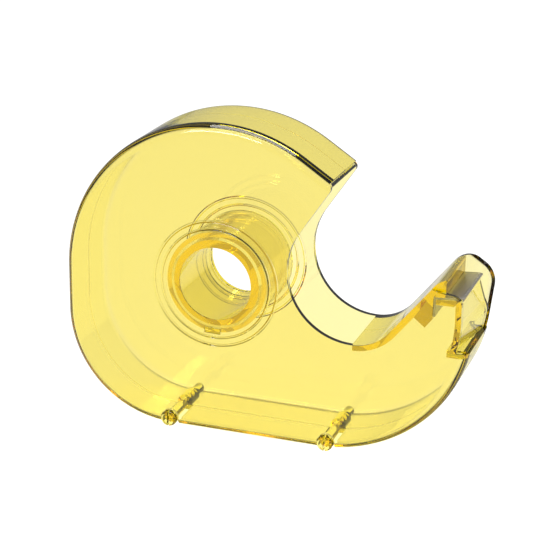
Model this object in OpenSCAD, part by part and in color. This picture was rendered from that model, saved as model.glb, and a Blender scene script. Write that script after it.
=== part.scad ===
// Hand tape dispenser: two clear half shells that clip together round a tape roll,
// and a serrated steel cutter clamped in the nose.
// X runs from the disc to the nose, Y across the width, Z up. The hub axis is the Y axis.

/* [Body] */
// Width over both outer faces
body_w = 23; // [21:0.5:26]
// Thickness of the side panels and of the rim
wall = 1.4; // [1.2:0.1:1.8]
// Outside radius of the disc round the hub
disc_r = 38.8; // [37:0.2:41]
// Height of the hub axis above the flat base
hub_height = 38.3; // [36:0.1:38.4]
// Radius of the rounded outer edges
edge_r = 2.7; // [2:0.1:3.2]
// Radius of the inside corner between panel and rim
inner_edge_r = 0.5; // [0.2:0.1:1]
// Gap between the two halves along the seam
seam_gap = 0.1; // [0.05:0.05:0.2]

/* [Outline] */
// Radius of the rounded heel below the disc
heel_r = 27.3; // [25:0.5:29]
// Distance of the heel's centre behind the hub axis
heel_x = 11.3; // [10:0.1:12]
// Radius of the belly that rises to the nose
belly_r = 36.5; // [35:0.5:38]
// Distance of the belly's centre ahead of the hub axis
belly_x = 26.3; // [25:0.1:28]
// Radius of the nose
nose_r = 6; // [5:0.25:6.5]
// Distance of the nose's centre ahead of the hub axis
nose_x = 57.4; // [56:0.1:58]
// Height of the nose's centre above the hub axis
nose_z = 2.3; // [1.5:0.1:3]
// Radius of the finger bay beside the disc
bay_r = 16.5; // [15.5:0.25:17]
// Radius of the finger bay below the tape table
table_bend_r = 11.2; // [10:0.2:12]
// Radius of the corner where the disc meets the finger bay
corner_r = 1.6; // [1:0.1:2]

/* [Hub] */
// Outside radius of the hub that the tape core turns on
hub_r = 12.5; // [12.2:0.1:12.6]
// Wall of each hub tube
hub_wall = 1.1; // [0.9:0.1:1.3]
// Radius of the hole through the hub
bore_r = 9; // [8:0.25:9.5]
// Depth of the ring grooves in the outer faces
groove_depth = 0.3; // [0.2:0.05:0.5]

/* [Posts] */
// Radius of the two cross posts
post_r = 1.25; // [1:0.05:1.35]
// Radius of a post's split snap head
head_r = 2; // [1.6:0.05:2.1]
// How far a snap head stands out of the front face
head_proud = 1.1; // [0.6:0.1:1.5]

/* [Cutter] */
// Thickness of the steel
blade_t = 0.5; // [0.4:0.05:0.6]
// Number of teeth
teeth = 17; // [12:1:22]
// Depth of each tooth
tooth_depth = 0.9; // [0.6:0.1:1.2]
// Length of the flange inside the nose
flange_l = 4.8; // [4:0.1:5]

/* [Hidden] */
$fn = 96;
eps = 0.01;
half_w = body_w / 2;
base_z = -hub_height;
bay_x = 34.2;
bay_z = 6;
table_t = 1.6;
seam_y = seam_gap / 2;
running_gap = 0.2;
tube_gap = 0.7;
inner_tube_r = hub_r - hub_wall - tube_gap;
ring_radii = [[13.25, 13.9], [15.1, 15.85]];
inner_face = half_w - wall;
key_angle = 268;
key_w = 3.8;
key_t = 1.2;
key_gap = 0.1;
key_tail = 1;
post_x = [-11.2, 28.8];
post_z = base_z + head_r;
post_hole_gap = 0.15;
collar_r = 1.9;
collar_l = 5;
head_tip_r = 1.4;
slit_w = 0.5;
slit_depth = 2;
relief_x = 46;
nose_floor_z = -9;
over = 1;
shell_color = [0.98, 0.87, 0.25, 0.55];
steel_color = [0.62, 0.60, 0.57];

// Nose section, seen along Y: landing block, clamp, cutter seat and nose wall
block_depth = 5;
block_start = 7;
flange_x = 53;
clamp_x = 55.7;
seat_t = 1.2;
root_z = 3.3;
tip = [60.1, 4.3];
seat_end_x = 58.6;
seat_angle = 33;
nose_flare = 2.4;
flare_top = 1.5;
flare_h = 6.5;
cheek_inset = 2.8;
cheek_lip = 0.3;
bite = 0.3;
cheek_nose_r = 2.5;
cheek_top_angle = 80;
fit = 0.05;

// ---- Outline: arcs whose ends share a normal, so that an inset keeps them tangent

function polar(r, a) = [r * cos(a), r * sin(a)];
function angle_of(v) = atan2(v[1], v[0]);

// Normal of the line that touches two circles on the same side, or on opposite sides
function side_tangent(c1, r1, c2, r2, s) = angle_of(c2 - c1) + s * acos((r1 - r2) / norm(c2 - c1));
function cross_tangent(c1, r1, c2, r2) = angle_of(c1 - c2) + acos(-(r1 + r2) / norm(c1 - c2));

function arc(c, r, from, to, n) = [for (i = [0:n]) c + polar(r, from + (to - from) * i / n)];
function bay_arc(c, r, from, to, n) = [for (i = [0:n]) c - polar(r, from + (to - from) * i / n)];

disc_c = [0, 0];
heel_c = [-heel_x, base_z + heel_r];
belly_c = [belly_x, base_z + belly_r];
nose_c = [nose_x, nose_z];
bay_c = [bay_x, bay_z];
bend_c = [bay_x, bay_z - bay_r + table_bend_r];

belly_end = side_tangent(belly_c, belly_r, nose_c, nose_r, -1);
nose_end = side_tangent(nose_c, nose_r, disc_c, disc_r, -1) + 360;
disc_end = side_tangent(disc_c, disc_r, heel_c, heel_r, -1) + 360;
table_angle = cross_tangent(nose_c, nose_r, bend_c, table_bend_r);
mouth_angle = -33;

// The corner arc touches the straight mouth edge and the inside of the disc
mouth_n = polar(1, mouth_angle);
corner_offset = (bay_c - bay_r * mouth_n) * mouth_n - corner_r;
corner_along = sqrt(pow(disc_r - corner_r, 2) - pow(corner_offset, 2));
corner_c = corner_offset * mouth_n + corner_along * polar(1, mouth_angle + 90);

function rim_outline(inset) = concat(
    arc(belly_c, belly_r - inset, -90, belly_end, 30),
    arc(nose_c, nose_r - inset, belly_end, nose_end, 10),
    arc(disc_c, disc_r - inset, nose_end, disc_end, 42),
    arc(heel_c, heel_r - inset, disc_end, 270, 26));

// Everything outside the table, the finger bay and the mouth
bay_outline = concat(
    arc(nose_c, nose_r, nose_end, table_angle, 14),
    bay_arc(bend_c, table_bend_r, table_angle, 90, 12),
    bay_arc(bay_c, bay_r, 90, mouth_angle, 30),
    arc(corner_c, corner_r, mouth_angle, angle_of(corner_c), 8),
    [polar(disc_r + 20, angle_of(corner_c)), nose_c + polar(40, nose_end)]);

// ---- Building blocks

// Extrudes an outline drawn in X and Z from y0 to y1
module along_y(y0, y1) {
    translate([0, y1, 0]) rotate([90, 0, 0]) linear_extrude(y1 - y0) children();
}

module tube(r, y0, y1) {
    translate([0, y1, 0]) rotate([90, 0, 0]) cylinder(r = r, h = y1 - y0);
}

// A slab with the rim's outline, its edge rounded by r at the face at -half_w + inset
module rounded_slab(inset, r, end_y) {
    steps = 5;
    face_y = -half_w + inset;
    rings = concat(
        [for (i = [0:steps]) let (a = 90 - 90 * i / steps)
            [inset + r * (1 - cos(a)), face_y + r * (1 - sin(a))]],
        [[inset, end_y]]);
    skin([for (g = rings) [for (p = rim_outline(g[0])) [p[0], g[1], p[1]]]], false);
}

// Solid through outlines of equal length, with the side faces split where they are twisted
module skin(outlines, twisted) {
    n = len(outlines[0]);
    last = len(outlines) - 1;
    quads = [for (k = [0:last - 1]) for (i = [0:n - 1]) let (j = (i + 1) % n)
        [k * n + i, k * n + j, (k + 1) * n + j, (k + 1) * n + i]];
    halves = [for (q = quads) each [[q[0], q[1], q[2]], [q[0], q[2], q[3]]]];
    caps = [[for (i = [n - 1:-1:0]) i], [for (i = [0:n - 1]) last * n + i]];
    points = [for (o = outlines) for (p = o) p];
    polyhedron(points, concat(twisted ? halves : quads, caps), convexity = 6);
}

// Panel with half of the rim, on the -Y side
module half_case(ledge_z) {
    difference() {
        rounded_slab(0, edge_r, -seam_y);
        rounded_slab(wall, inner_edge_r, eps);
        along_y(-half_w - over, over) polygon(bay_outline);
        for (r = ring_radii) ring_groove(r[0], r[1]);
        nose_relief();
    }
    ledge(ledge_z);
}

// Step below the nose wall, joined to the rim
module ledge(top_z) {
    low_z = nose_floor_z - wall;
    inner_x = belly_x_at(belly_r - cheek_inset - wall - 2 * cheek_lip, low_z);
    along_y(-inner_face - bite, -seam_y) polygon([
        [inner_x, low_z], [belly_x_at(belly_r - wall / 2, low_z), low_z],
        [belly_x_at(belly_r - wall / 2, top_z), top_z], [inner_x, top_z]]);
}

function belly_x_at(r, z) = belly_c[0] + sqrt(pow(r, 2) - pow(z - belly_c[1], 2));

module ring_groove(r_in, r_out) {
    difference() {
        tube(r_out, -half_w - over, -half_w + groove_depth);
        tube(r_in, -half_w - 2 * over, -half_w + groove_depth + over);
    }
}

// Takes the rim off above the nose floor, and leaves the flat cheek
module nose_relief() {
    size = [2 * (nose_x - relief_x), inner_face + over, nose_z + 2 * nose_r - nose_floor_z];
    translate([relief_x, -inner_face, nose_floor_z]) cube(size);
}

// Half of the tape table, up to the landing block
module half_table() {
    top = bay_arc(bend_c, table_bend_r, table_angle, 90, 12);
    low = bay_arc(bend_c, table_bend_r + table_t, 90, table_angle, 12);
    end_top = slope_point(block_start, 0);
    end_low = slope_point(block_start, table_t);
    along_y(-inner_face - eps, -seam_y) polygon(concat([end_low, end_top], top, low));
}

// A point on the sloping table: distance up the slope from its foot, and depth below it
slope_foot = bend_c - polar(table_bend_r, table_angle);
function slope_point(along, depth) =
    slope_foot + polar(along, table_angle - 90) - polar(depth, table_angle);

// ---- Nose

module landing_block() {
    flange_foot = slope_point(block_start, block_depth);
    rise = (flange_x - flange_foot[0]) * tan(table_angle - 90);
    clamp_top = acos((clamp_x - nose_x) / nose_r);
    polygon(concat(
        [slope_point(block_start, 0), flange_foot],
        [[flange_x - fit, flange_foot[1] + rise], [flange_x - fit, root_z + blade_t + fit]],
        [[clamp_x, strip_z(clamp_x) + blade_t + fit]],
        arc(nose_c, nose_r, clamp_top, table_angle, 8)));
}

// Height of the strip's underside
function strip_z(x) = root_z + (x - flange_x) * (tip[1] - blade_t - root_z) / (tip[0] - flange_x);

// Ledge that the strip lies on
module cutter_seat() {
    x0 = flange_x + blade_t + fit;
    polygon([
        [seat_end_x - wall / 2, strip_z(seat_end_x) - fit - seat_t], [x0, strip_z(x0) - fit - seat_t],
        [x0, strip_z(x0) - fit], [seat_end_x, strip_z(seat_end_x) - fit]]);
}

// The wall that follows the front cheek's edge, and flares towards the rear cheek
module nose_wall() {
    skin([
        wall_ring(-inner_face - bite, 0), wall_ring(inner_face - running_gap, nose_flare)], true);
}

function wall_ring(y, reach) =
    let (inside = wall_curve(wall))
    [for (p = concat(wall_curve(0), [for (i = [len(inside) - 1:-1:0]) inside[i]]))
        [p[0] + reach * flare(p[1]), y, p[1]]];

function wall_curve(inset) =
    let (r = belly_r - cheek_inset - cheek_lip - inset)
    let (low = asin((nose_floor_z + seam_gap - belly_c[1]) / r))
    concat(arc(belly_c, r, low, 0, 8), arc(nose_c, cheek_nose_r - cheek_lip - inset, 0, seat_angle, 5));

function flare(z) =
    let (s = min(1, max(0, (flare_top - z) / flare_h)))
    s * s * (3 - 2 * s);

// Flat cheek of the front shell, which stops short of the rear cheek's rounded edge
module cheek_trim() {
    low = asin((nose_floor_z - belly_c[1]) / (belly_r - cheek_inset));
    nose_tip = nose_c + polar(cheek_nose_r, cheek_top_angle);
    rise = (nose_tip[0] - relief_x) / tan(cheek_top_angle);
    along_y(-half_w - over, -inner_face) difference() {
        translate([relief_x, nose_floor_z]) square(2 * (nose_x - relief_x));
        polygon(concat(
            [[relief_x, nose_floor_z]], arc(belly_c, belly_r - cheek_inset, low, 0, 6),
            arc(nose_c, cheek_nose_r, 0, cheek_top_angle, 8),
            [[relief_x, nose_tip[1] + rise]]));
    }
}

// ---- Hub and posts

module key_bar(gap, y0, y1) {
    r_mid = hub_r - key_t / 2;
    translate([0, y0, 0]) rotate([0, -key_angle, 0])
        translate([r_mid - key_t / 2 - gap, 0, -key_w / 2 - gap])
            cube([key_t + 2 * gap, y1 - y0, key_w + 2 * gap]);
}

module at_posts() {
    for (x = post_x) translate([x, 0, post_z]) children();
}

module snap_head() {
    neck_y = -inner_face;
    top_y = -half_w - head_proud;
    dome = head_r / 2;
    difference() {
        union() {
            tube(head_r, top_y + dome, neck_y);
            translate([0, top_y + dome, 0]) rotate([90, 0, 0])
                cylinder(r1 = head_r, r2 = head_tip_r, h = dome);
        }
        translate([-slit_w / 2, top_y - over, -head_r - over])
            cube([slit_w, slit_depth + over, 2 * (head_r + over)]);
    }
}

// An open slot in the floor and panel of the front shell, which a post slides along
module post_slot() {
    slot_r = head_r + post_hole_gap;
    tube(slot_r, -half_w - over, over);
    translate([-slot_r, -half_w - over, -slot_r - over])
        cube([2 * slot_r, half_w + 2 * over, slot_r + over]);
}

// ---- Parts

module front_shell() {
    color(shell_color) difference() {
        union() {
            difference() {
                half_case(nose_floor_z + seam_gap + bite);
                cheek_trim();
            }
            half_table();
            tube(inner_tube_r, -inner_face - eps, inner_face - running_gap);
            along_y(-inner_face - eps, inner_face - running_gap) landing_block();
            along_y(-inner_face - eps, inner_face - running_gap) cutter_seat();
            nose_wall();
        }
        tube(bore_r, -half_w - over, half_w);
        key_bar(key_gap, -half_w - over, -inner_face + key_tail);
        at_posts() post_slot();
    }
}

module rear_shell() {
    color(shell_color) {
        difference() {
            union() {
                mirror([0, 1, 0]) half_case(nose_floor_z);
                mirror([0, 1, 0]) half_table();
                tube(hub_r, -inner_face + running_gap, inner_face + eps);
                key_bar(0, -half_w, -inner_face + key_tail);
            }
            tube(hub_r - hub_wall, -half_w - over, inner_face);
            tube(bore_r, -half_w - over, half_w + over);
        }
        at_posts() {
            tube(post_r, -inner_face - eps, inner_face + eps);
            tube(collar_r, seam_y, collar_l);
            snap_head();
        }
    }
}

module cutter_blade() {
    blade_l = 2 * inner_face - 2 * running_gap;
    pitch = blade_l / teeth;
    root_x = tip[0] - tooth_depth;
    color(steel_color) difference() {
        along_y(-blade_l / 2, blade_l / 2) polygon([
            [flange_x, root_z + blade_t], [flange_x, root_z + blade_t - flange_l],
            [flange_x + blade_t, root_z + blade_t - flange_l],
            [flange_x + blade_t, strip_z(flange_x + blade_t)],
            [tip[0], tip[1] - blade_t], tip]);
        for (i = [0:teeth])
            translate([root_x, -blade_l / 2 + i * pitch, 0])
                linear_extrude(10) polygon([[0, 0], [2, pitch], [2, -pitch]]);
    }
}

front_shell();
rear_shell();
cutter_blade();
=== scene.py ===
"""Clear yellow hand tape dispenser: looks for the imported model.

Outlines are lists of (x, z) in millimetres, and meshes are scaled to metres when they are made.
"""
import math

import bmesh
import bpy
import numpy as np
from mathutils import Matrix, Vector


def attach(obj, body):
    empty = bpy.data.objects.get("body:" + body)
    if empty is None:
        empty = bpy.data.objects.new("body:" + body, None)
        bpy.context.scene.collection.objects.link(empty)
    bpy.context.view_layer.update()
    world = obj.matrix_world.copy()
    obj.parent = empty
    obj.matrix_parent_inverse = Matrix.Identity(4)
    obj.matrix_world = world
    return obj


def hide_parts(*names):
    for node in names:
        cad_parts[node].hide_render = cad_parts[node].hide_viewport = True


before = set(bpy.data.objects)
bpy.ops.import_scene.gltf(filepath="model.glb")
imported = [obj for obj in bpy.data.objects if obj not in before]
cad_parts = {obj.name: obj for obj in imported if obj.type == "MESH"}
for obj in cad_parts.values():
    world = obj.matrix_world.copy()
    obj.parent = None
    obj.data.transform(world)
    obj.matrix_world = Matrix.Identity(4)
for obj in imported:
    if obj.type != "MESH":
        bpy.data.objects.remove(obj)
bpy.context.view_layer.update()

MM = 0.001

# ---------------------------------------------------------------- driving sizes, in millimetres
# Body: half its width, the panels' inner faces, the disc, and half the gap along the seam
BODY_W = 23.0
HALF_W = BODY_W / 2
WALL = 1.4
INNER = HALF_W - WALL
DISC_R = 38.8
BASE_Z = -38.3
EDGE_R, INNER_EDGE_R = 2.7, 0.5
SEAM = 0.05
RUN_GAP = 0.2
# Outline: arcs of the heel, belly, nose and finger bay, and the corner at the mouth
HEEL_R, HEEL_X = 27.3, 11.3
BELLY_R, BELLY_X = 36.5, 26.3
NOSE_R, NOSE_X, NOSE_Z = 6.0, 57.4, 2.3
BAY_R, BAY_X, BAY_Z = 16.5, 34.2, 6.0
BEND_R = 11.2
CORNER_R = 1.6
MOUTH_ANGLE = -33.0
TABLE_T = 1.6
# Hub: outer tube, bore, wall of the inner tube, ring grooves and key
HUB_R, HUB_WALL, BORE_R, INNER_TUBE_WALL = 12.5, 1.1, 9.0, 1.7
RINGS = ((13.25, 13.9), (15.1, 15.85))
GROOVE, GROOVE_SLOPE = 0.3, 0.9
KEY_ANGLE, KEY_W, KEY_T, KEY_GAP = 268.0, 3.8, 1.2, 0.1
# Cross posts with their split snap heads and collars
POST_X, POST_Z = (-11.2, 28.8), BASE_Z + 2.0
POST_R, HEAD_R, HEAD_PROUD, HEAD_GAP = 1.25, 2.0, 1.1, 0.15
HEAD_DOME, DOME_END, DOME_STEPS = 0.9, 75, 6
COLLAR_R, COLLAR_L, SLIT, SLIT_END = 1.9, 5.0, 0.5, 0.9
# Nose: cutter strip, its seat, the wall that flares towards the rear cheek, and the front cheek
NOSE_FLOOR = -9.0
BLADE_T, TEETH, TOOTH, FLANGE_L = 0.5, 17, 0.9, 4.8
FLANGE_X, CLAMP_X, ROOT_Z, TIP = 53.0, 55.7, 3.3, np.array([60.1, 4.3])
SEAT_T, FIT = 1.2, 0.05
SEAT_END, SEAT_ANGLE, FLARE, FLARE_TOP, FLARE_H = 58.6, 33.0, 2.4, 1.5, 6.5
CHEEK_LIP, BITE = 0.3, 0.3
RELIEF_X, CHEEK_INSET, CHEEK_NOSE_R, CHEEK_TOP = 46.0, 2.8, 2.5, 80.0
BLOCK_START, BLOCK_DEPTH = 7.0, 5.0
# Construction: overlap of joined solids, how far cutting tools reach past a face, and far points
EPS, SKIM, OVER = 0.01, 0.02, 1
FAR_DISC, FAR_NOSE, FAR_CHEEK, FAR_X, FAR_Z = 20, 40, 25, 90, 30
# Finish: steps round an edge or a turned part, welding distance in metres, and shading angles
EDGE_STEPS, HUB_TURNS, POST_TURNS, RING_TURNS = 12, 160, 48, 128
WELD = 2e-6
SMOOTH_BELOW, BEVEL_ABOVE, FLAT_COS = 32, 55, 0.9999

# ---------------------------------------------------------------- outline


def polar(r, deg):
    return np.array([r * math.cos(math.radians(deg)), r * math.sin(math.radians(deg))])


def angle_of(v):
    return math.degrees(math.atan2(v[1], v[0]))


def side_tangent(c1, r1, c2, r2):
    """Angle of the normal of the line that touches two circles on the same side."""
    return angle_of(c2 - c1) - math.degrees(math.acos((r1 - r2) / np.linalg.norm(c2 - c1)))


def arc(c, r, start, end, n):
    """n straight runs on an arc that bulges outwards."""
    return [c + polar(r, start + (end - start) * i / n) for i in range(n + 1)]


def bay_arc(c, r, start, end, n):
    """n straight runs on the far side of the circle, for hollows whose normal points at c."""
    return [c - polar(r, start + (end - start) * i / n) for i in range(n + 1)]


DISC_C = np.zeros(2)
HEEL_C = np.array([-HEEL_X, BASE_Z + HEEL_R])
BELLY_C = np.array([BELLY_X, BASE_Z + BELLY_R])
NOSE_C = np.array([NOSE_X, NOSE_Z])
BAY_C = np.array([BAY_X, BAY_Z])
BEND_C = np.array([BAY_X, BAY_Z - BAY_R + BEND_R])
BELLY_END = side_tangent(BELLY_C, BELLY_R, NOSE_C, NOSE_R)
NOSE_END = side_tangent(NOSE_C, NOSE_R, DISC_C, DISC_R) + 360
DISC_END = side_tangent(DISC_C, DISC_R, HEEL_C, HEEL_R) + 360
_span = np.linalg.norm(NOSE_C - BEND_C)
TABLE_ANGLE = angle_of(NOSE_C - BEND_C) + math.degrees(math.acos(-(NOSE_R + BEND_R) / _span))
MOUTH_N = polar(1, MOUTH_ANGLE)
_off = float((BAY_C - BAY_R * MOUTH_N) @ MOUTH_N) - CORNER_R
_run = math.sqrt((DISC_R - CORNER_R) ** 2 - _off**2)
CORNER_C = _off * MOUTH_N + _run * polar(1, MOUTH_ANGLE + 90)
SLOPE_FOOT = BEND_C - polar(BEND_R, TABLE_ANGLE)


def rim_outline(inset):
    """Closed outline of the case without its bay."""
    return (
        arc(BELLY_C, BELLY_R - inset, -90, BELLY_END, 64)
        + arc(NOSE_C, NOSE_R - inset, BELLY_END, NOSE_END, 20)
        + arc(DISC_C, DISC_R - inset, NOSE_END, DISC_END, 110)
        + arc(HEEL_C, HEEL_R - inset, DISC_END, 270, 52)
    )


def bay_outline():
    """Everything outside the table, the finger bay and the mouth."""
    return (
        arc(NOSE_C, NOSE_R, NOSE_END, TABLE_ANGLE, 26)
        + bay_arc(BEND_C, BEND_R, TABLE_ANGLE, 90, 22)
        + bay_arc(BAY_C, BAY_R, 90, MOUTH_ANGLE, 56)
        + arc(CORNER_C, CORNER_R, MOUTH_ANGLE, angle_of(CORNER_C), 10)
        + [polar(DISC_R + FAR_DISC, angle_of(CORNER_C)), NOSE_C + polar(FAR_NOSE, NOSE_END)]
    )


def slope_point(along, depth):
    """Point at a distance up the sloping table, and at a depth below it."""
    return SLOPE_FOOT + polar(along, TABLE_ANGLE - 90) - polar(depth, TABLE_ANGLE)


def strip_z(x):
    """Height of the cutter strip's underside."""
    return ROOT_Z + (x - FLANGE_X) * (TIP[1] - BLADE_T - ROOT_Z) / (TIP[0] - FLANGE_X)


# ---------------------------------------------------------------- mesh helpers


def mesh_object(name, verts, faces):
    mesh = bpy.data.meshes.new(name)
    mesh.from_pydata([Vector(v) * MM for v in verts], [], faces)
    ob = bpy.data.objects.new(name, mesh)
    bpy.context.scene.collection.objects.link(ob)
    bm = bmesh.new()
    bm.from_mesh(mesh)
    bmesh.ops.recalc_face_normals(bm, faces=bm.faces)
    bm.to_mesh(mesh)
    bm.free()
    return ob


def loft(name, rings):
    """Closed solid through rings of (x, y, z) points, with flat ends."""
    n = len(rings[0])
    verts = [p for ring in rings for p in ring]
    faces = [
        (k * n + i, k * n + (i + 1) % n, (k + 1) * n + (i + 1) % n, (k + 1) * n + i)
        for k in range(len(rings) - 1)
        for i in range(n)
    ]
    faces += [tuple(range(n)), tuple(range((len(rings) - 1) * n, len(rings) * n))]
    return mesh_object(name, verts, faces)


def prism(outline, y0, y1, name="prism"):
    return loft(name, [[(x, y, z) for x, z in outline] for y in (y0, y1)])


def lathe(profile):
    """Turns a closed (radius, y) profile about the Y axis."""
    verts, faces, m = [], [], len(profile)
    for i in range(RING_TURNS):
        a = math.tau * i / RING_TURNS
        verts += [(r * math.cos(a), y, r * math.sin(a)) for r, y in profile]
    for i in range(RING_TURNS):
        here, there = i * m, (i + 1) % RING_TURNS * m
        for k in range(m):
            up = (k + 1) % m
            faces.append((here + k, there + k, there + up, here + up))
    return mesh_object("lathe", verts, faces)


def rod(r, y0, y1, centre=(0.0, 0.0), turns=96, dome=0.0):
    """Solid round bar along Y; dome rounds the end at y0."""
    end = [(r, y0)]
    if dome:
        angles = [math.radians(DOME_END * i / DOME_STEPS) for i in range(DOME_STEPS + 1)]
        end = [(r - dome * (1 - math.cos(a)), y0 + dome * (1 - math.sin(a))) for a in angles]
    round_ = [math.tau * i / turns for i in range(turns)]
    rings = [
        [(centre[0] + q * math.cos(a), y, centre[1] + q * math.sin(a)) for a in round_]
        for q, y in [(r, y1)] + end
    ]
    return loft("rod", rings)


def combine(target, other, operation):
    mod = target.modifiers.new("cut", "BOOLEAN")
    mod.operation = operation
    mod.solver = "EXACT"
    mod.object = other
    apply_modifiers(target)
    bpy.data.objects.remove(other)


def cut(target, other):
    combine(target, other, "DIFFERENCE")


def join(target, other):
    combine(target, other, "UNION")


def apply_modifiers(ob):
    """Puts the evaluated mesh in place of the object's own."""
    graph = bpy.context.evaluated_depsgraph_get()
    mesh = bpy.data.meshes.new_from_object(ob.evaluated_get(graph))
    old = ob.data
    ob.modifiers.clear()
    ob.data = mesh
    mesh.name = ob.name
    bpy.data.meshes.remove(old)


def box(x0, x1, y0, y1, z0, z1):
    return prism([(x0, z0), (x1, z0), (x1, z1), (x0, z1)], y0, y1, "box")


def finish_solid(ob, bevel=0.2):
    """Welds, bevels sharp edges as far as the clamp allows, and keeps flat faces flat.

    Short edges left by the booleans clamp the bevel on both shells to almost nothing.
    """
    bm = bmesh.new()
    bm.from_mesh(ob.data)
    bmesh.ops.remove_doubles(bm, verts=bm.verts, dist=WELD)
    bmesh.ops.dissolve_degenerate(bm, edges=bm.edges, dist=WELD)
    bmesh.ops.delete(bm, geom=[v for v in bm.verts if not v.link_faces], context="VERTS")
    bm.to_mesh(ob.data)
    bm.free()
    mod = ob.modifiers.new("edge", "BEVEL")
    mod.width = bevel * MM
    mod.segments = 3
    mod.limit_method = "ANGLE"
    mod.angle_limit = math.radians(BEVEL_ABOVE)
    mod.use_clamp_overlap = True
    mod.miter_outer = "MITER_ARC"
    apply_modifiers(ob)
    for f in ob.data.polygons:
        f.use_smooth = True
    bm = bmesh.new()
    bm.from_mesh(ob.data)
    bmesh.ops.holes_fill(bm, edges=[e for e in bm.edges if e.is_boundary])
    for e in bm.edges:
        e.smooth = len(e.link_faces) == 2 and e.calc_face_angle(0) < math.radians(SMOOTH_BELOW)
    bm.to_mesh(ob.data)
    bm.free()
    mod = ob.modifiers.new("normals", "WEIGHTED_NORMAL")
    mod.keep_sharp = True
    mod.weight = 100
    apply_modifiers(ob)
    flatten_cheeks(ob.data)
    return ob


def flatten_cheeks(mesh):
    """Keeps the wide faces across Y optically flat up to their edges."""
    normals = [Vector(n.vector) for n in mesh.corner_normals]
    for f in mesh.polygons:
        if abs(f.normal.y) > FLAT_COS:
            for i in f.loop_indices:
                normals[i] = f.normal.copy()
    mesh.normals_split_custom_set(normals)


# ---------------------------------------------------------------- shells


def rounded_slab(inset, r, end_y, name):
    """Slab with the rim's outline, its edge rounded by r at the outer face."""
    face = -HALF_W + inset
    levels = []
    for i in range(EDGE_STEPS + 1):
        a = math.radians(90 - 90 * i / EDGE_STEPS)
        levels.append((inset + r * (1 - math.cos(a)), face + r * (1 - math.sin(a))))
    levels.append((inset, end_y))
    return loft(name, [[(x, y, z) for x, z in rim_outline(d)] for d, y in levels])


def half_case(name, ledge_z):
    """Side panel, half of the rim and half of the tape table, on the -Y side."""
    ob = rounded_slab(0, EDGE_R, -SEAM, name)
    cut(ob, rounded_slab(WALL, INNER_EDGE_R, OVER, "cavity"))
    cut(ob, prism(bay_outline(), -HALF_W - 2 * OVER, 2 * OVER))
    for r_in, r_out in RINGS:
        cut(ob, ring_groove(r_in, r_out))
    cut(ob, box(RELIEF_X, FAR_X, -INNER, HALF_W, NOSE_FLOOR, FAR_Z))
    top = bay_arc(BEND_C, BEND_R, TABLE_ANGLE, 90, 22)
    low = bay_arc(BEND_C, BEND_R + TABLE_T, 90, TABLE_ANGLE, 22)
    ends = [slope_point(BLOCK_START, TABLE_T), slope_point(BLOCK_START, 0)]
    join(ob, prism(ends + top + low, -INNER - EPS, -SEAM))
    join(ob, ledge(ledge_z))
    return ob


def ring_groove(r_in, r_out):
    """Tool for a groove with sloping walls in the outer face."""
    face, slope = -HALF_W, GROOVE_SLOPE * GROOVE
    inner = [(r_in, face - OVER), (r_in, face), (r_in + slope, face + GROOVE)]
    outer = [(r_out - slope, face + GROOVE), (r_out, face), (r_out, face - OVER)]
    return lathe(inner + outer)


def mirror_y(ob):
    ob.data.transform(Matrix.Diagonal((1, -1, 1, 1)))
    ob.data.flip_normals()
    return ob


def landing_block():
    """Outline of the block that the tape lands on, with the clamp step for the cutter."""
    foot = slope_point(BLOCK_START, BLOCK_DEPTH)
    rise = (FLANGE_X - foot[0]) * math.tan(math.radians(TABLE_ANGLE - 90))
    clamp_top = math.degrees(math.acos((CLAMP_X - NOSE_X) / NOSE_R))
    return [
        slope_point(BLOCK_START, 0),
        foot,
        (FLANGE_X - FIT, foot[1] + rise),
        (FLANGE_X - FIT, ROOT_Z + BLADE_T + FIT),
        (CLAMP_X, strip_z(CLAMP_X) + BLADE_T + FIT),
    ] + arc(NOSE_C, NOSE_R, clamp_top, TABLE_ANGLE, 16)


def cutter_seat():
    """Outline of the ledge that the strip lies on."""
    x0, x1 = FLANGE_X + BLADE_T + FIT, SEAT_END
    under = strip_z(x0) - FIT - SEAT_T
    return [(x1 - WALL / 2, under), (x0, under), (x0, strip_z(x0) - FIT), (x1, strip_z(x1) - FIT)]


def wall_curve(inset):
    """One face of the nose wall, just inside the edge of the front cheek."""
    r = BELLY_R - CHEEK_INSET - CHEEK_LIP - inset
    r_nose = CHEEK_NOSE_R - CHEEK_LIP - inset
    low = math.degrees(math.asin((NOSE_FLOOR + 2 * SEAM - BELLY_C[1]) / r))
    return arc(BELLY_C, r, low, 0, 24) + arc(NOSE_C, r_nose, 0, SEAT_ANGLE, 10)


def wall_ring(y, reach):
    """Section of the nose wall, whose lower part reaches out by a smooth step."""
    ring = []
    for x, z in wall_curve(0) + wall_curve(WALL)[::-1]:
        s = min(1.0, max(0.0, (FLARE_TOP - z) / FLARE_H))
        ring.append((x + reach * s * s * (3 - 2 * s), y, z))
    return ring


def nose_wall():
    """Wall across the nose, which flares towards the rear cheek."""
    y0, y1, steps = -INNER - BITE, INNER - RUN_GAP, 6
    rings = [wall_ring(y0 + (y1 - y0) * i / steps, FLARE * i / steps) for i in range(steps + 1)]
    return loft("wall", rings)


def belly_x(r, z):
    """Where a circle of radius r about the belly's centre is at height z."""
    return BELLY_C[0] + math.sqrt(r**2 - (z - BELLY_C[1]) ** 2)


def ledge(top):
    """Step below the nose wall, joined to the rim."""
    low, back = NOSE_FLOOR - WALL, BELLY_R - WALL / 2
    x0 = belly_x(BELLY_R - CHEEK_INSET - WALL - 2 * CHEEK_LIP, low)
    outline = [(x0, low), (belly_x(back, low), low), (belly_x(back, top), top), (x0, top)]
    return prism(outline, -INNER - BITE, -SEAM)


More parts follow.
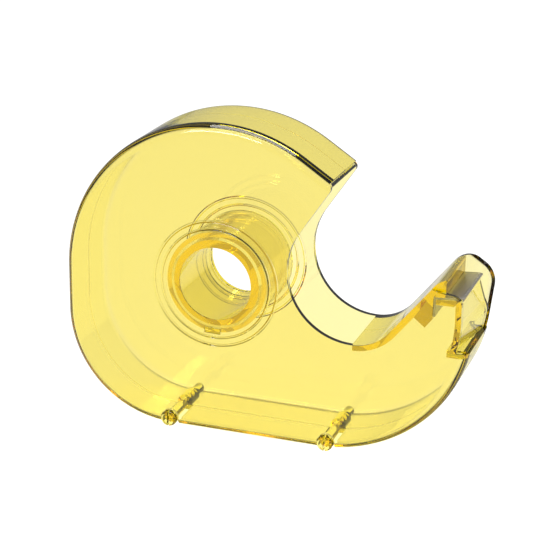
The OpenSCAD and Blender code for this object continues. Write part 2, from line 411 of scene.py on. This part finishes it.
def cheek_edge():
    """Outline beyond the flat cheek of the front shell."""
    low = math.degrees(math.asin((NOSE_FLOOR - BELLY_C[1]) / (BELLY_R - CHEEK_INSET)))
    tip = NOSE_C + polar(CHEEK_NOSE_R, CHEEK_TOP)
    rise = (tip[0] - RELIEF_X) / math.tan(math.radians(CHEEK_TOP))
    far_x, far_z = RELIEF_X + FAR_CHEEK, NOSE_FLOOR + FAR_CHEEK
    return (
        arc(BELLY_C, BELLY_R - CHEEK_INSET, low, 0, 14)
        + arc(NOSE_C, CHEEK_NOSE_R, 0, CHEEK_TOP, 20)
        + [(RELIEF_X, tip[1] + rise), (RELIEF_X, far_z), (far_x, far_z), (far_x, NOSE_FLOOR)]
    )


def key_bar(gap, y0, y1):
    """Key on the outer hub tube, or with a gap its slot in the front panel."""
    ob = box(HUB_R - KEY_T - gap, HUB_R + gap, y0, y1, -KEY_W / 2 - gap, KEY_W / 2 + gap)
    ob.data.transform(Matrix.Rotation(math.radians(-KEY_ANGLE), 4, "Y"))
    return ob


def front_shell():
    ob = half_case("front_shell_body", NOSE_FLOOR + 2 * SEAM + BITE)
    cut(ob, prism(cheek_edge(), -HALF_W - OVER, -INNER + SKIM))
    join(ob, rod(BORE_R + INNER_TUBE_WALL, -INNER - EPS, INNER - RUN_GAP, turns=HUB_TURNS))
    join(ob, prism(landing_block(), -INNER - EPS, INNER - RUN_GAP))
    join(ob, prism(cutter_seat(), -INNER - EPS, INNER - RUN_GAP))
    join(ob, nose_wall())
    cut(ob, rod(BORE_R, -HALF_W - OVER, HALF_W, turns=HUB_TURNS))
    cut(ob, key_bar(KEY_GAP, -HALF_W - OVER, -INNER + OVER))
    slot = HEAD_R + HEAD_GAP
    for x in POST_X:
        cut(ob, rod(slot, -HALF_W - OVER, OVER, (x, POST_Z)))
        cut(ob, box(x - slot, x + slot, -HALF_W - OVER, OVER, POST_Z - slot - OVER, POST_Z))
    return finish_solid(ob)


def rear_shell():
    ob = mirror_y(half_case("rear_shell_body", NOSE_FLOOR))
    join(ob, rod(HUB_R, -INNER + RUN_GAP, INNER + EPS, turns=HUB_TURNS))
    join(ob, key_bar(0, -HALF_W, -INNER + OVER))
    cut(ob, rod(HUB_R - HUB_WALL, -HALF_W - OVER, INNER, turns=HUB_TURNS))
    cut(ob, rod(BORE_R, -HALF_W - OVER, HALF_W + OVER, turns=HUB_TURNS))
    low, high = POST_Z - HEAD_R - OVER, POST_Z + HEAD_R + OVER
    for x in POST_X:
        at = (x, POST_Z)
        join(ob, rod(POST_R, -INNER - EPS, INNER + EPS, at, POST_TURNS))
        join(ob, rod(COLLAR_R, SEAM, COLLAR_L, at, POST_TURNS))
        head = rod(HEAD_R, -HALF_W - HEAD_PROUD, -INNER, at, POST_TURNS, HEAD_DOME)
        slit = (x - SLIT / 2, x + SLIT / 2, -HALF_W - 3 * OVER, -HALF_W + SLIT_END, low, high)
        cut(head, box(*slit))
        join(ob, head)
    return finish_solid(ob)


def cutter_blade():
    """Bent steel strip with a flange behind and a row of teeth in front."""
    length = 2 * INNER - 2 * RUN_GAP
    pitch = length / TEETH
    z0 = ROOT_Z + BLADE_T
    strip = [
        (FLANGE_X, z0),
        (FLANGE_X, z0 - FLANGE_L),
        (FLANGE_X + BLADE_T, z0 - FLANGE_L),
        (FLANGE_X + BLADE_T, strip_z(FLANGE_X + BLADE_T)),
        (TIP[0], TIP[1] - BLADE_T),
        tuple(TIP),
    ]
    ob = prism(strip, -length / 2, length / 2, "cutter_strip")
    for i in range(TEETH + 1):
        y, x = -length / 2 + i * pitch, TIP[0] - TOOTH
        rings = [[(x, y, z), (x + 2, y - pitch, z), (x + 2, y + pitch, z)] for z in (0, 10)]
        cut(ob, loft("tooth", rings))
    return finish_solid(ob, bevel=0.05)


# ---------------------------------------------------------------- materials


def new_material(name):
    """Empty node material: returns it with its node tree and output."""
    mat = bpy.data.materials.new(name)
    mat.use_nodes = True
    nt = mat.node_tree
    nt.nodes.clear()
    return mat, nt, nt.nodes.new("ShaderNodeOutputMaterial")


def clear_plastic(name, seed):
    """Polished clear polystyrene: most of the yellow is what its thickness absorbs."""
    mat, nt, out = new_material(name)
    link = nt.links.new
    shader = nt.nodes.new("ShaderNodeBsdfPrincipled")
    shader.inputs["Base Color"].default_value = (0.94, 0.885, 0.84, 1)
    shader.inputs["Transmission Weight"].default_value = 1.0
    shader.inputs["IOR"].default_value = 1.57
    shader.inputs["Roughness"].default_value = 0.0
    volume = nt.nodes.new("ShaderNodeVolumeAbsorption")
    volume.inputs["Color"].default_value = (0.996, 0.968, 0.02, 1)
    volume.inputs["Density"].default_value = 470
    coords = nt.nodes.new("ShaderNodeTexCoord")
    place = nt.nodes.new("ShaderNodeMapping")
    place.inputs["Location"].default_value = (seed, seed, seed)
    link(coords.outputs["Object"], place.inputs["Vector"])
    flow = nt.nodes.new("ShaderNodeTexNoise")
    flow.inputs["Scale"].default_value = 55
    flow.inputs["Detail"].default_value = 1
    link(place.outputs["Vector"], flow.inputs["Vector"])
    bump = nt.nodes.new("ShaderNodeBump")
    bump.inputs["Strength"].default_value = 0.05
    bump.inputs["Distance"].default_value = 0.001
    link(flow.outputs["Fac"], bump.inputs["Height"])
    link(bump.outputs["Normal"], shader.inputs["Normal"])
    clear = nt.nodes.new("ShaderNodeBsdfTransparent")
    path = nt.nodes.new("ShaderNodeLightPath")
    mix = nt.nodes.new("ShaderNodeMixShader")
    link(path.outputs["Is Shadow Ray"], mix.inputs[0])
    link(shader.outputs[0], mix.inputs[1])
    link(clear.outputs[0], mix.inputs[2])
    link(mix.outputs[0], out.inputs["Surface"])
    link(volume.outputs[0], out.inputs["Volume"])
    return mat


def cutter_steel():
    """Rolled steel with grain along the strip."""
    mat, nt, out = new_material("cutter_steel")
    link = nt.links.new
    shader = nt.nodes.new("ShaderNodeBsdfPrincipled")
    shader.inputs["Metallic"].default_value = 1.0
    coords = nt.nodes.new("ShaderNodeTexCoord")
    place = nt.nodes.new("ShaderNodeMapping")
    place.inputs["Scale"].default_value = (4000, 120, 4000)
    link(coords.outputs["Object"], place.inputs["Vector"])
    grain = nt.nodes.new("ShaderNodeTexNoise")
    grain.inputs["Scale"].default_value = 1
    grain.inputs["Detail"].default_value = 3
    link(place.outputs["Vector"], grain.inputs["Vector"])
    tone = nt.nodes.new("ShaderNodeValToRGB")
    tone.color_ramp.elements[0].color = (0.30, 0.28, 0.26, 1)
    tone.color_ramp.elements[1].color = (0.52, 0.49, 0.45, 1)
    link(grain.outputs["Fac"], tone.inputs["Fac"])
    link(tone.outputs["Color"], shader.inputs["Base Color"])
    rough = nt.nodes.new("ShaderNodeMapRange")
    rough.inputs["To Min"].default_value = 0.22
    rough.inputs["To Max"].default_value = 0.42
    link(grain.outputs["Fac"], rough.inputs["Value"])
    link(rough.outputs["Result"], shader.inputs["Roughness"])
    bump = nt.nodes.new("ShaderNodeBump")
    bump.inputs["Strength"].default_value = 0.15
    bump.inputs["Distance"].default_value = 0.0001
    link(grain.outputs["Fac"], bump.inputs["Height"])
    link(bump.outputs["Normal"], shader.inputs["Normal"])
    link(shader.outputs[0], out.inputs["Surface"])
    return mat


# ---------------------------------------------------------------- stage

# Camera: direction in degrees, distance and shift in millimetres from the hub on the front face
AZIMUTH, ELEVATION, ROLL = 17.606, 19.109, 1.826
DISTANCE, LENS = 437.2, 118.25
SHIFT_RIGHT, SHIFT_UP = 15.47, 0.98
# Floor and sky: white to the camera, dimmer to steep rays and in reflections, like black cards
FLOOR_HALF, FLOOR_GAP = 3.0, 0.0001
FLOOR_STEEP, FLOOR_LOW, FLOOR_DARK, FLOOR_BRIGHT = 0.28, 0.5, 0.25, 0.94
SKY, SKY_REFLECTED = 0.7, 0.35


def add_camera():
    a, e, r = (math.radians(v) for v in (AZIMUTH, ELEVATION, ROLL))
    back = Vector((math.sin(a) * math.cos(e), -math.cos(a) * math.cos(e), math.sin(e)))
    right = (-back).cross(Vector((0, 0, 1))).normalized()
    up = right.cross(-back)
    cam_x = math.cos(r) * right + math.sin(r) * up
    cam_y = math.cos(r) * up - math.sin(r) * right
    place = back * DISTANCE + cam_x * SHIFT_RIGHT + cam_y * SHIFT_UP - Vector((0, HALF_W, 0))
    data = bpy.data.cameras.new("camera")
    data.lens = LENS
    data.sensor_width = 36
    data.clip_start = 0.01
    cam = bpy.data.objects.new("camera", data)
    turn = Matrix((cam_x, cam_y, back)).transposed().to_4x4()
    cam.matrix_world = Matrix.Translation(place * MM) @ turn
    bpy.context.scene.collection.objects.link(cam)
    bpy.context.scene.camera = cam


def add_light(name, where, size, power):
    """Soft box that points at the hub."""
    data = bpy.data.lights.new(name, "AREA")
    data.shape = "RECTANGLE"
    data.size, data.size_y = size
    data.energy = power
    ob = bpy.data.objects.new(name, data)
    ob.location = where
    ob.rotation_euler = (-Vector(where)).to_track_quat("-Z", "Y").to_euler()
    bpy.context.scene.collection.objects.link(ob)


def add_floor():
    z = BASE_Z * MM - FLOOR_GAP
    corners = [(FLOOR_HALF * x, FLOOR_HALF * y, z) for x, y in ((-1, -1), (1, -1), (1, 1), (-1, 1))]
    mesh = bpy.data.meshes.new("floor")
    mesh.from_pydata(corners, [], [(0, 1, 2, 3)])
    floor = bpy.data.objects.new("floor", mesh)
    bpy.context.scene.collection.objects.link(floor)
    mat, nt, out = new_material("floor_white")
    link = nt.links.new
    shader = nt.nodes.new("ShaderNodeBsdfPrincipled")
    shader.inputs["Base Color"].default_value = (0.15, 0.15, 0.15, 1)
    shader.inputs["Roughness"].default_value = 1.0
    shader.inputs["Specular IOR Level"].default_value = 0.0
    shader.inputs["Emission Color"].default_value = (1, 1, 1, 1)
    facing = nt.nodes.new("ShaderNodeLayerWeight")
    glow = nt.nodes.new("ShaderNodeMapRange")
    glow.inputs["From Min"].default_value = FLOOR_STEEP
    glow.inputs["From Max"].default_value = FLOOR_LOW
    glow.inputs["To Min"].default_value = FLOOR_DARK
    glow.inputs["To Max"].default_value = FLOOR_BRIGHT
    link(facing.outputs["Facing"], glow.inputs["Value"])
    flag = nt.nodes.new("ShaderNodeBsdfDiffuse")
    flag.inputs["Color"].default_value = (0.6, 0.6, 0.6, 1)
    path = nt.nodes.new("ShaderNodeLightPath")
    seen = nt.nodes.new("ShaderNodeMath")
    seen.operation = "MAXIMUM"
    link(path.outputs["Is Camera Ray"], seen.inputs[0])
    link(glow.outputs["Result"], seen.inputs[1])
    link(seen.outputs[0], shader.inputs["Emission Strength"])
    mix = nt.nodes.new("ShaderNodeMixShader")
    link(path.outputs["Is Reflection Ray"], mix.inputs[0])
    link(shader.outputs[0], mix.inputs[1])
    link(flag.outputs[0], mix.inputs[2])
    link(mix.outputs[0], out.inputs["Surface"])
    mesh.materials.append(mat)


def add_sky():
    world = bpy.data.worlds.new("studio")
    world.use_nodes = True
    sky = world.node_tree.nodes["Background"]
    sky.inputs["Color"].default_value = (1, 1, 1, 1)
    path = world.node_tree.nodes.new("ShaderNodeLightPath")
    dim = world.node_tree.nodes.new("ShaderNodeMapRange")
    dim.inputs["To Min"].default_value = SKY
    dim.inputs["To Max"].default_value = SKY_REFLECTED
    world.node_tree.links.new(path.outputs["Is Reflection Ray"], dim.inputs["Value"])
    world.node_tree.links.new(dim.outputs["Result"], sky.inputs["Strength"])
    bpy.context.scene.world = world


def place_piece(ob, node, body, mat):
    """Gives a mesh its material, and puts it in place of its CAD node on its body."""
    ob.data.materials.clear()
    ob.data.materials.append(mat)
    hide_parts(node)
    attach(ob, body)


add_camera()
add_floor()
add_sky()
add_light("top_box", (0.0, 0.0, 0.6), (0.5, 0.4), 3.5)
add_light("front_box", (-0.25, -0.7, 0.45), (0.4, 0.16), 2.2)
front_plastic = clear_plastic("clear_front", 0.0)
rear_plastic = clear_plastic("clear_rear", 3.0)
place_piece(front_shell(), "front_shell", "front_half", front_plastic)
place_piece(rear_shell(), "rear_shell", "rear_half", rear_plastic)
place_piece(cutter_blade(), "cutter_blade", "front_half", cutter_steel())

scene = bpy.context.scene
scene.view_settings.view_transform = "Standard"
scene.cycles.max_bounces = 96
scene.cycles.transmission_bounces = 96
scene.cycles.transparent_max_bounces = 32
scene.cycles.glossy_bounces = 8
scene.cycles.diffuse_bounces = 4
scene.cycles.caustics_reflective = True
scene.cycles.caustics_refractive = True
